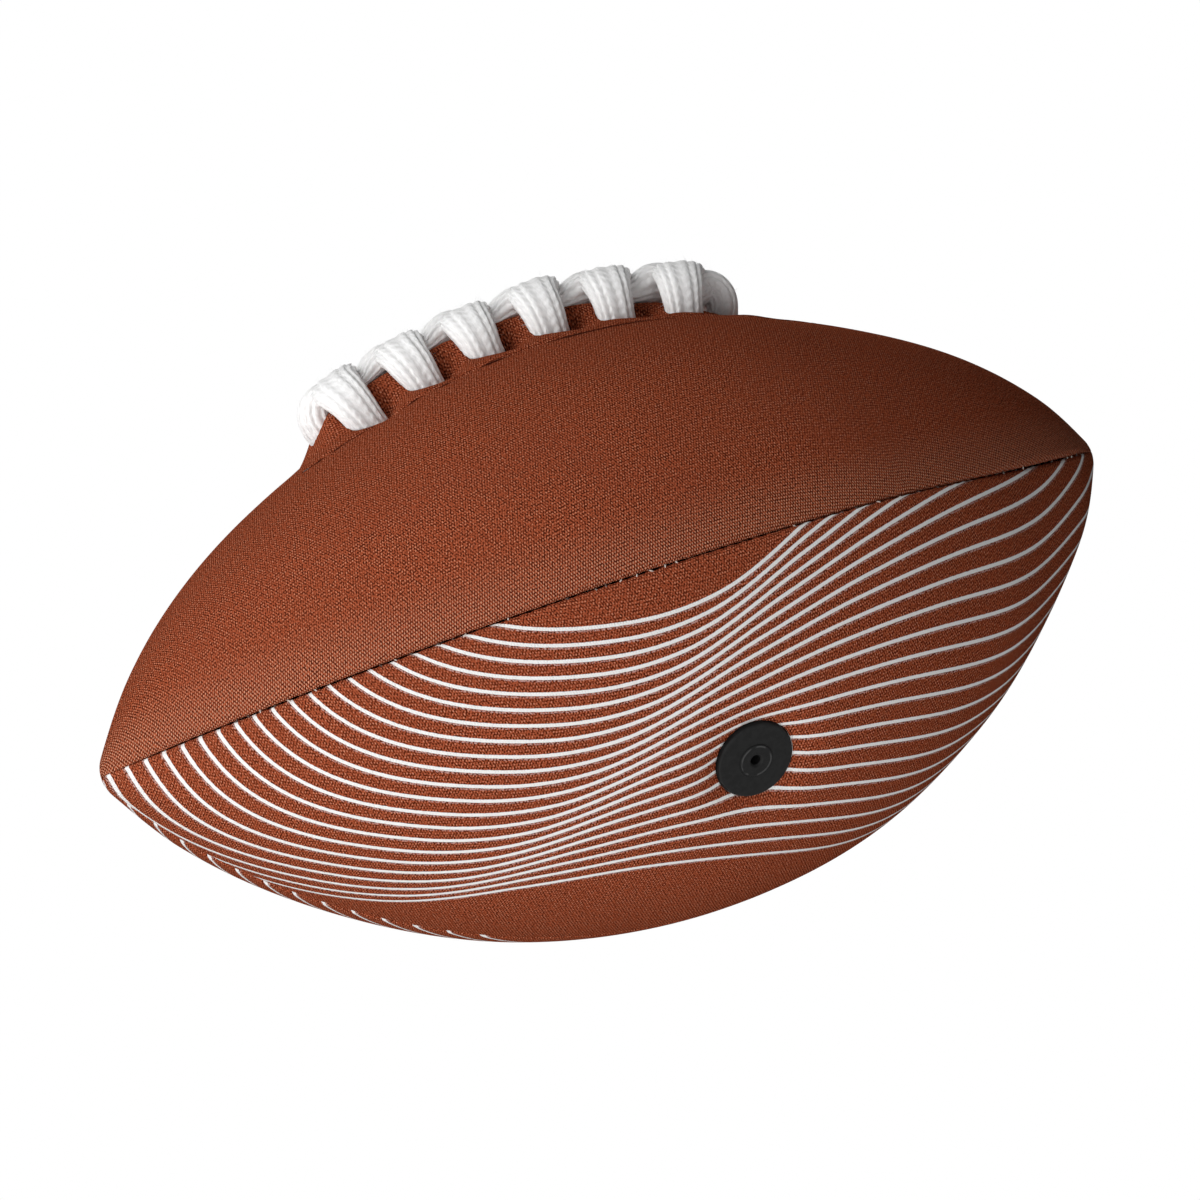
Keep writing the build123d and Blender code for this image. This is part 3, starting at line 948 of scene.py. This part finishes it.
def even_course(course, step):
    lengths = [0.0]
    for before, after in zip(course, course[1:]):
        lengths.append(lengths[-1] + (after[0] - before[0]).length)
    count = ceil(lengths[-1] / step)
    even = []
    place = 0
    for i in range(count + 1):
        want = lengths[-1] * i / count
        while place < len(lengths) - 2 and lengths[place + 1] < want:
            place += 1
        share = (want - lengths[place]) / max(lengths[place + 1] - lengths[place], least_length)
        (p0, w0, a0, t0), (p1, w1, a1, t1) = course[place], course[place + 1]
        even.append([p0.lerp(p1, share), w0.lerp(w1, share), a0 + (a1 - a0) * share, t0 + (t1 - t0) * share])
    for smoothing in range(cord_smoothings):
        held = [list(ring) for ring in even]
        for i in range(1, count):
            for field in range(4):
                even[i][field] = (held[i - 1][field] + held[i][field] * 2 + held[i + 1][field]) / 4
    return even, lengths[-1]


def cord_ring(rings, i):
    before, after = rings[max(i - 1, 0)][0], rings[min(i + 1, len(rings) - 1)][0]
    along = (after - before).normalized()
    place, wide, width, thickness = rings[i]
    wide = (wide - along * wide.dot(along)).normalized()
    return place, wide, along.cross(wide), width, thickness


def cord_edge(angle, width, thickness):
    c, s = cos(angle), sin(angle)
    across = abs(c) ** cord_flat_share * (1 if c > 0 else -1) * width / 2
    over = abs(s) ** cord_flat_share * (1 if s > 0 else -1) * thickness / 2
    return across, over


def make_cord(bm, rings):
    lay = bm.loops.layers.uv.new("cord")
    last = len(rings) - 1
    bmesh.ops.create_grid(bm, x_segments=last, y_segments=cord_sectors, size=1)
    laid = {vert: (round((vert.co.x + 1) / 2 * last), (vert.co.y + 1) / 2) for vert in bm.verts}
    frames = [cord_ring(rings, i) for i in range(last + 1)]
    for face in bm.faces:
        for loop in face.loops:
            i, share = laid[loop.vert]
            loop[lay].uv = (i * cord_step, share)
    for vert, (i, share) in laid.items():
        place, wide, thick, width, thickness = frames[i]
        angle = 2 * pi * round(share * cord_sectors) / cord_sectors
        uneven = noise(Vector((i * cord_step / cord_uneven_size, cos(angle), sin(angle))))
        lobe = abs(cos(cord_ribs * angle / 2 + rib_wander * sin(i * cord_step / rib_wander_size)))
        rib = 1 + cord_rib_share * (lobe - rib_middle) + cord_uneven * uneven
        if i in (0, last):
            rib = 0
        across, over = cord_edge(angle, width * rib, thickness * rib)
        vert.co = spot(place + wide * across + thick * over)
    bmesh.ops.remove_doubles(bm, verts=bm.verts, dist=weld_gap)
    bmesh.ops.recalc_face_normals(bm, faces=bm.faces)


def cotton_material():
    material, surface = new_material("cotton_lace", 0.9)
    surface.inputs["Specular IOR Level"].default_value = 0.1
    surface.inputs["Sheen Weight"].default_value = 0.3
    surface.inputs["Subsurface Weight"].default_value = 0.35
    surface.inputs["Subsurface Radius"].default_value = (1.0, 1.0, 1.0)
    surface.inputs["Subsurface Scale"].default_value = 0.0008
    place, run, around = on_map(material, "cord")
    rib = formula(material, "PINGPONG", formula(material, "MULTIPLY", around, 2.0 * cord_ribs), 1.0)
    number = formula(material, "ROUND", formula(material, "MULTIPLY", around, cord_ribs))
    slope = weighted(material, (rib, rib_slope), (number, rib_shift))
    turns = formula(material, "MULTIPLY", run, 2 * pi / ply_length)
    ply = formula(material, "SINE", formula(material, "ADD", turns, slope))
    stretch = add_node(material, "ShaderNodeMapping")
    stretch.inputs["Scale"].default_value = fibre_stretch
    join(material, place, stretch.inputs["Vector"])
    fibres = speckle(material, stretch.outputs["Vector"], 1.0, 4.0)
    height = formula(material, "ADD", formula(material, "MULTIPLY", ply, ply_height), fibres)
    # Painted shade, partly random tone: the cord is greyer where the plies dip and where the fibre noise is
    # low.
    colour = tint(material, fade(material, height, *fibre_edge), cotton_groove_shade, cotton_white)
    join(material, colour, surface.inputs["Base Color"])
    bump(material, surface, height, 0.0002, 0.7)
    return material


lace_chance = random.Random(11)
cotton = cotton_material()
rings, lace_length = even_course(lay_lace(), cord_step)
lace = make_piece("lace_cord", cotton, lambda bm: make_cord(bm, rings))
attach(lace, "ball")
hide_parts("lace")
print("lace length", round(lace_length))

# The lace's loose fibres: short ends of worn cotton yarn that stand off the cord wherever it shows. Each is
# a thin three-sided point, rooted in the cord's face and leaning its own way.
fuzz_count = 2600
fuzz_length, fuzz_spread = 1.3, (0.4, 1.3)
fuzz_radius = 0.022
fuzz_root_share = 0.95
fuzz_lean = 0.6


def make_fuzz(bm):
    frames = [cord_ring(rings, i) for i in range(len(rings))]
    shown = []
    for i, ring in enumerate(rings):
        cover_height = lace_base + waist_arc_radius * cos(ring[0].x / waist_arc_radius)
        if ring[0].z > cover_height:
            shown.append(i)
    for count in range(fuzz_count):
        place, wide, thick, width, thickness = frames[lace_chance.choice(shown)]
        angle = lace_chance.uniform(0, 2 * pi)
        across, over = cord_edge(angle, width * fuzz_root_share, thickness * fuzz_root_share)
        root = place + wide * across + thick * over
        away = wide * cos(angle) + thick * sin(angle)
        stray = Vector([lace_chance.gauss(0, 1) for axis in range(3)])
        lean = (away + stray * fuzz_lean).normalized()
        length = fuzz_length * lace_chance.uniform(*fuzz_spread)
        upright = lean.to_track_quat("Z", "X").to_matrix().to_4x4()
        bmesh.ops.create_cone(
            bm, segments=3, radius1=fuzz_radius * METRE, radius2=0, depth=length * METRE,
            matrix=Matrix.Translation(spot(root + lean * length / 2)) @ upright,
        )


fuzz_material, fuzz_surface = new_material("cotton_fibres", 0.9)
fuzz_surface.inputs["Base Color"].default_value = (0.94, 0.935, 0.925, 1.0)
fuzz = make_piece("lace_fuzz", fuzz_material, make_fuzz)
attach(fuzz, "ball")

# The bladder and the valve: a rubber bladder fills the ball, a patch inside the panel holds the moulded
# black housing of the valve, and the plug with the needle hole sits in it. They keep their CAD forms.
rubber_black, plug_black, bladder_black = (0.009, 0.009, 0.009), (0.008, 0.008, 0.008), (0.02, 0.02, 0.02)
rubber = rough_black("moulded_rubber", rubber_black, roughness=0.6, grain=900.0, depth=0.00004)
plug_rubber = rough_black("plug_rubber", plug_black, roughness=0.55, grain=1200.0, depth=0.00003)
bladder_rubber = rough_black("bladder_rubber", bladder_black, roughness=0.4, grain=300.0, depth=0.00004)
# A painted highlight: a broken pale ring on the plug, where light catches the edge of the groove round it.
highlight_ring_radius = 2.95
highlight_ring_half = 0.2
highlight_ring_grain, highlight_ring_breaks = 420.0, (0.42, 0.52)


# Paints the highlight ring: pale dashes at a fixed distance from the valve's axis, broken by noise.
def paint_ring_highlight(material, colour):
    centred = add_node(material, "ShaderNodeMapping")
    turn = valve_out.rotation_difference(Vector((0, 0, 1)))
    centred.inputs["Rotation"].default_value = turn.to_euler()
    centred.inputs["Location"].default_value = -(turn @ spot((0, 0, 0)))
    place = add_node(material, "ShaderNodeTexCoord")
    join(material, place.outputs["Object"], centred.inputs["Vector"])
    level = add_node(material, "ShaderNodeVectorMath", operation="MULTIPLY")
    level.inputs[1].default_value = (1, 1, 0)
    join(material, centred.outputs["Vector"], level.inputs[0])
    away = add_node(material, "ShaderNodeVectorMath", operation="LENGTH")
    join(material, level.outputs["Vector"], away.inputs[0])
    aside = formula(material, "SUBTRACT", away.outputs["Value"], highlight_ring_radius * METRE)
    aside = formula(material, "ABSOLUTE", aside)
    line = fade(material, aside, highlight_ring_half * METRE / 2, highlight_ring_half * METRE, 1.0, 0.0)
    broken = fade(material, speckle(material, place.outputs["Object"], highlight_ring_grain), *highlight_ring_breaks)
    surface = material.node_tree.nodes["Principled BSDF"]
    black = surface.inputs["Base Color"].links[0].from_socket
    highlighted_black = tint(material, formula(material, "MULTIPLY", line, broken), black, colour)
    join(material, highlighted_black, surface.inputs["Base Color"])


# The plug gets its painted highlight ring.
paint_ring_highlight(plug_rubber, (0.05, 0.05, 0.05))
for name, material in (
    ("bladder", bladder_rubber), ("valve_patch", foam),
    ("valve_housing", rubber), ("valve_core", plug_rubber),
):
    frame["nodes"][name].data.materials[0] = material

# The camera and the lamps. The camera looks a little up at the ball and is rolled, as in the photograph. Soft
# studio lamps stand at the left, the upper left, below and in front, and one behind lights the rim.
camera_yaw = radians(20.0)
camera_rise = radians(-5.74)
camera_roll = radians(19.52)
camera_away = 1000.0
camera_aside = 1.70
camera_up = -3.83
pixels_per_mm = 5.259
photo_pixels = 1200
film_width = 36
turn = Matrix.Rotation(-camera_yaw, 3, "Z") @ Matrix.Rotation(-camera_rise, 3, "X")
eye = spot(turn @ Vector((-camera_aside, -camera_away, -camera_up)))
right = turn @ Vector((cos(camera_roll), 0, -sin(camera_roll)))
up = turn @ Vector((sin(camera_roll), 0, cos(camera_roll)))
forward = turn @ Vector((0, 1, 0))
camera_data = bpy.data.cameras.new("camera")
camera_data.sensor_width = film_width
camera_data.lens = pixels_per_mm * camera_away / photo_pixels * film_width
camera = bpy.data.objects.new("camera", camera_data)
bpy.context.scene.collection.objects.link(camera)
camera_turn = Matrix((right, up, -forward)).transposed().to_4x4()
camera.matrix_world = Matrix.Translation(eye) @ camera_turn
bpy.context.scene.camera = camera


def soft_light(name, place, size, power):
    data = bpy.data.lights.new(name, "AREA")
    data.shape = "DISK"
    data.size = size
    data.energy = power
    lamp = bpy.data.objects.new(name, data)
    bpy.context.scene.collection.objects.link(lamp)
    lamp.location = spot((0, 0, 0)) + right * place[0] + up * place[1] - forward * place[2]
    lamp.rotation_euler = (spot((0, 0, 0)) - lamp.location).to_track_quat("-Z", "Y").to_euler()
    lamp.visible_camera = False


soft_light("key", place=(-0.88, -0.11, 0.65), size=1.1, power=6.2)
soft_light("top", place=(-0.86, 0.77, 0.42), size=0.9, power=8.2)
soft_light("low", place=(-0.27, -0.99, 0.38), size=0.9, power=3.4)
soft_light("front", place=(0.08, -0.38, 1.04), size=0.9, power=7.6)
soft_light("back", place=(0.15, 0.35, -1.35), size=0.6, power=15.0)

# The floor: a pale sheet that fades into plain white away from the ball. Only the camera sees it, and only
# from above, so that it neither shades the ball nor hides it from below.
floor_size = 8.0
white_reach, white_share = (0.1, 0.7), 0.35


def make_floor(bm):
    bmesh.ops.create_grid(bm, x_segments=1, y_segments=1, size=floor_size)


floor_material, floor_surface = new_material("pale_floor", 0.9)
floor_surface.inputs["Base Color"].default_value = (0.9, 0.9, 0.9, 1.0)
floor = make_piece("floor", floor_material, make_floor)
floor_out = floor_material.node_tree.nodes["Material Output"]
path = add_node(floor_material, "ShaderNodeLightPath")
sides = add_node(floor_material, "ShaderNodeNewGeometry")
from_above = formula(floor_material, "SUBTRACT", 1.0, sides.outputs["Backfacing"])
seen = formula(floor_material, "MULTIPLY", path.outputs["Is Camera Ray"], from_above)
clear = add_node(floor_material, "ShaderNodeBsdfTransparent")
floor_mix = add_node(floor_material, "ShaderNodeMixShader")
join(floor_material, seen, floor_mix.inputs[0])
join(floor_material, clear.outputs[0], floor_mix.inputs[1])
floor_place = add_node(floor_material, "ShaderNodeTexCoord")
away = add_node(floor_material, "ShaderNodeVectorMath", operation="LENGTH")
join(floor_material, floor_place.outputs["Object"], away.inputs[0])
backdrop = add_node(floor_material, "ShaderNodeEmission")
ground = add_node(floor_material, "ShaderNodeMixShader")
whiter = fade(floor_material, away.outputs["Value"], *white_reach, white_share, 1.0)
join(floor_material, whiter, ground.inputs[0])
join(floor_material, floor_surface.outputs[0], ground.inputs[1])
join(floor_material, backdrop.outputs[0], ground.inputs[2])
join(floor_material, ground.outputs[0], floor_mix.inputs[2])
join(floor_material, floor_mix.outputs[0], floor_out.inputs["Surface"])

# The surround: plain white wherever the camera or a shiny face looks past the ball, and elsewhere a faint
# even light that softens the shadows.
world = bpy.data.worlds.new("surround")
bpy.context.scene.world = world
world.use_nodes = True
plain = world.node_tree.nodes["Background"]
plain.inputs["Color"].default_value = (1, 1, 1, 1)
plain.inputs["Strength"].default_value = 0.08
white = add_node(world, "ShaderNodeBackground")
white.inputs["Color"].default_value = (1, 1, 1, 1)
white.inputs["Strength"].default_value = 1.0
rays = add_node(world, "ShaderNodeLightPath")
mirrored = formula(world, "MAXIMUM", rays.outputs["Is Glossy Ray"], rays.outputs["Is Transmission Ray"])
shown = formula(world, "MAXIMUM", rays.outputs["Is Camera Ray"], mirrored)
surround = add_node(world, "ShaderNodeMixShader")
join(world, shown, surround.inputs[0])
join(world, plain.outputs[0], surround.inputs[1])
join(world, white.outputs[0], surround.inputs[2])
join(world, surround.outputs[0], world.node_tree.nodes["World Output"].inputs["Surface"])
bpy.context.scene.view_settings.view_transform = "Standard"
